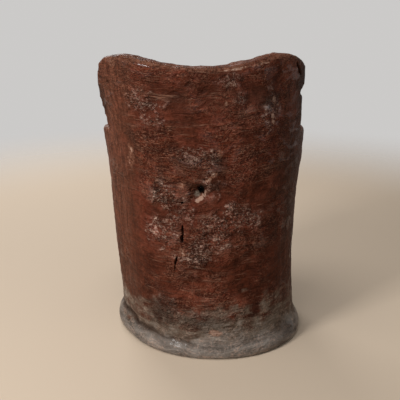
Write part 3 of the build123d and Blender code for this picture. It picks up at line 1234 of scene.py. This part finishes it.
    def _relief(self, skin: Skin) -> np.ndarray:
        """How far each point moves out along its normal, which is nothing at the floor.

        Args:
            skin: The log's points.

        Returns:
            Metres for each point.
        """
        places, ragged = skin.places, skin.ragged
        bent = places + np.outer(noise_at(places, (5.0, 5.0, 4.0)), (0.0, 0.0, self.ripple_bend))
        outside = self.hewing * noise_at(places, (10.0, 10.0, 8.0))
        outside += self.rippling * noise_at(bent, (14.0, 14.0, 62.0))
        outside += self.foot.rolled(places, ragged)[0]
        pits = spread(self.pitted, places, ragged)
        outside += self.pitting * pits * noise_at(places, (70.0, 70.0, 90.0), 1)
        for dent in self.dents:
            outside += dent.share(places, 0.4 * ragged)
        inside = self.scalloping * (skin.cuts**2 - 0.18)
        rim = self.rim_waves * noise_at(places, (40.0, 40.0, 40.0)) + self.rim_chips * ragged
        relief = outside * skin.outside + inside * skin.inside + rim * skin.rim
        return (relief - skin.sunk) * step_up(places[:, 2], *self.clear_above)

    def _paint(self, mesh: bpy.types.Mesh, skin: Skin) -> None:
        """Writes what the finish reads on the log's points.

        Args:
            mesh: The log's mesh.
            skin: Its points.
        """
        places, ragged = skin.places, skin.ragged
        lip, marks = self.knot.painted(places)
        outside, beyond = np.maximum(skin.outside, lip), 1.0 - lip
        # Painted highlight along the crest, laid in with the worn spots
        painted_crest_highlight = self.crest_highlight_line.share(places) * np.clip(0.9 + 1.6 * ragged, 0.0, 1.2)
        worn = np.maximum(spread(self.worn, places, ragged), painted_crest_highlight)
        # The foot's crease is painted dark as shade, together with the smoky stains
        smoky = np.maximum(spread(self.smoky, places, ragged), self.foot.rolled(places, ragged)[1])
        ridges = step_up(skin.cuts, 0.42, 0.62) * skin.inside
        values = {
            Paint.PITS: spread(self.pitted, places, ragged) * outside,
            Paint.WORN: np.maximum(worn * skin.outside, marks[Paint.WORN]),
            Paint.SMOKE: smoky * outside,
            # The knot's marks add painted light to the grey and painted shade to the black
            Paint.GREY: np.maximum(self.foot.greyed(places, ragged, outside), marks[Paint.GREY]),
            Paint.SCAR: np.clip(skin.scar * 1.2 + marks[Paint.SCAR], 0.0, 1.0),
            Paint.RIM: skin.rim * beyond,
            Paint.EDGE: np.clip(skin.edge + 0.8 * ridges, 0.0, 1.0) * beyond,
            Paint.INSIDE: skin.inside * (1.0 - skin.rim) * beyond,
        }
        for paint, value in values.items():
            layer = mesh.attributes.new(paint.value, "FLOAT", "POINT")
            layer.data.foreach_set("value", value.astype(np.float32))


@dataclass(frozen=True)
class Boards:
    """Boards of one kind in the seat, worn along their edges, by the stems of their names."""

    node: str
    piece: str
    which: tuple[str, ...]
    slot: str
    wear: float
    waves: Point
    finish: BoardFinish
    voxel: float = 0.0034

    def build(self, nodes: dict[str, bpy.types.Object]) -> list[tuple[bpy.types.Object, str, str]]:
        """Makes the boards.

        Args:
            nodes: The solids' objects by node.

        Returns:
            Each piece with the node that it replaces and the name of its slot.
        """
        wood = self.finish.make()
        made = []
        for which in self.which:
            node = f"{self.node}_{which}"
            piece = remeshed_copy(nodes[node], f"{self.piece}_{which}", self.voxel, 1)
            places, normals = read_points(piece.data)
            relief = self.wear * (noise_at(places, self.waves, 3) - 0.35)
            write_points(piece.data, places + normals * relief[:, None])
            piece.data.materials.append(wood)
            made.append((piece, node, self.slot))
        return made


@dataclass(frozen=True)
class Seat:
    """The plank seat: three planks on two bearers, with forged nails."""

    nodes: dict[str, bpy.types.Object]
    planks: Boards = Boards(
        node="seat_plank",
        piece="worn_plank",
        which=("front", "middle", "rear"),
        slot="seat_wood",
        wear=0.0007,
        waves=(9.0, 45.0, 45.0),
        finish=BoardFinish(
            name="seat_plank_wood",
            grain=Grain.ACROSS,
            deep=(0.032, 0.014, 0.007),
            body=(0.105, 0.046, 0.022),
            light=(0.2, 0.098, 0.05),
            wax=0.35,
        ),
    )
    bearers: Boards = Boards(
        node="seat_bearer",
        piece="hewn_bearer",
        which=("right", "left"),
        slot="bearer_wood",
        wear=0.0012,
        waves=(40.0, 12.0, 40.0),
        finish=BoardFinish(
            name="bearer_wood",
            grain=Grain.DEEP,
            deep=(0.04, 0.02, 0.012),
            body=(0.095, 0.052, 0.032),
            light=(0.17, 0.1, 0.062),
            wax=0.1,
        ),
    )

    def build(self) -> list[tuple[bpy.types.Object, str, str]]:
        """Makes the boards, and hands back each with its node and the name of its slot."""
        return self.planks.build(self.nodes) + self.bearers.build(self.nodes)

    def dress_nails(self) -> None:
        """Gives the nails' nodes their iron."""
        iron = IronFinish().make()
        for node in ("seat_nails", "bearer_nails"):
            self.nodes[node].data.materials.clear()
            self.nodes[node].data.materials.append(iron)
            LOG.info("%s: keeps its own shape, in forged iron", node)


@dataclass(frozen=True)
class Lamp:
    """A square soft lamp that faces the chair, with its side in metres and its power in watts."""

    name: str
    place: Point
    size: float
    power: float
    aim: Point = (0.0, 0.0, 0.4)

    def hang(self) -> None:
        """Adds the lamp to the scene."""
        data = bpy.data.lights.new(self.name, "AREA")
        data.shape = "SQUARE"
        data.size = self.size
        data.energy = self.power
        lamp = bpy.data.objects.new(self.name, data)
        lamp.location = self.place
        sight = Vector(self.aim) - Vector(self.place)
        lamp.rotation_euler = sight.to_track_quat("-Z", "Y").to_euler()
        bpy.context.scene.collection.objects.link(lamp)


@dataclass(frozen=True)
class Studio:
    """Pale floor and backdrop, soft lamps, and the camera at the photograph's angle."""

    eye: Point = (0.01034, 2.139, 1.085)
    pitch: float = 18.65
    lens: float = 72.0
    sensor: float = 36.0
    floor_colour: Colour = (0.6, 0.48, 0.36)
    floor_radius: float = 2.6
    floor_fade_shares: Ends = (0.5, 0.96)
    sky_colour: Colour = (0.6, 0.59, 0.58)
    felt_colour: Colour = (0.62, 0.62, 0.62)
    felt_strength: float = 0.26
    lamps: tuple[Lamp, ...] = (
        Lamp("key", (2.4, 2.4, 1.8), 0.8, 92.0),
        Lamp("top", (0.5, 0.9, 3.0), 1.3, 30.0),
        Lamp("fill", (-2.6, 1.8, 1.2), 1.8, 9.0),
        Lamp("front", (1.2, -2.8, 1.9), 1.4, 52.0),
    )

    def build(self) -> None:
        """Makes the floor, the world, the lamps and the camera."""
        self._floor()
        self._world()
        for lamp in self.lamps:
            lamp.hang()
        self._camera()
        bpy.context.scene.view_settings.view_transform = "Standard"

    def _floor(self) -> None:
        """Lays the pale floor, which fades out into the backdrop."""
        shape = bmesh.new()
        bmesh.ops.create_circle(shape, cap_ends=True, segments=96, radius=self.floor_radius)
        mesh = bpy.data.meshes.new("floor")
        shape.to_mesh(mesh)
        shape.free()
        floor = bpy.data.objects.new("floor", mesh)
        bpy.context.scene.collection.objects.link(floor)
        shader = Shader(bpy.data.materials.new("pale_floor"))
        look = {"Base Color": (*self.floor_colour, 1.0), "Roughness": 0.85}
        solid = shader.node("ShaderNodeBsdfPrincipled", {}, look)
        clear = shader.node("ShaderNodeBsdfTransparent")
        start, end = (share * self.floor_radius for share in self.floor_fade_shares)
        fade = shader.place().reach().rise(start, end)
        surface = shader.node("ShaderNodeMixShader", {}, {0: fade, 1: solid, 2: clear})
        shader.node("ShaderNodeOutputMaterial", {}, {"Surface": surface})
        mesh.materials.append(shader.owner)

    def _world(self) -> None:
        """Makes a pale sky, as the camera and reflections see it, and a dimmer one that lights."""
        world = bpy.data.worlds.new("studio")
        bpy.context.scene.world = world
        shader = Shader(world)
        camera, glossy, through = (
            shader.node("ShaderNodeLightPath", output=f"Is {ray} Ray")
            for ray in ("Camera", "Glossy", "Transmission")
        )
        seen = shader.node("ShaderNodeBackground", {}, {"Color": (*self.sky_colour, 1.0)})
        dim = {"Color": (*self.felt_colour, 1.0), "Strength": self.felt_strength}
        felt = shader.node("ShaderNodeBackground", {}, dim)
        direct = camera.most(glossy.most(through))
        sky = shader.node("ShaderNodeMixShader", {}, {0: direct, 1: felt, 2: seen})
        shader.node("ShaderNodeOutputWorld", {}, {"Surface": sky})

    def _camera(self) -> None:
        """Sets the camera behind the chair and above it."""
        data = bpy.data.cameras.new("camera")
        data.sensor_width = self.sensor
        data.lens = self.lens
        camera = bpy.data.objects.new("camera", data)
        camera.location = self.eye
        camera.rotation_euler = (math.radians(90.0 - self.pitch), 0.0, math.pi)
        bpy.context.scene.collection.objects.link(camera)
        bpy.context.scene.camera = camera


def main() -> None:
    """Builds the studio, then each part of the chair, and reports each piece."""
    logging.basicConfig(level=logging.INFO, format="%(name)s: %(message)s")
    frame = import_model()
    nodes = frame["nodes"]
    Studio().build()

    made = [(HollowLog(nodes["trunk"]).build(), "trunk", "trunk_wood")]
    seat = Seat(nodes)
    made += seat.build()
    seat.dress_nails()
    for piece, node, slot in made:
        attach(piece, "root")
        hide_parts(node)
        LOG.info("%s: %d faces, stands for %s", piece.name, len(piece.data.polygons), node)


if __name__ == "__main__":
    main()
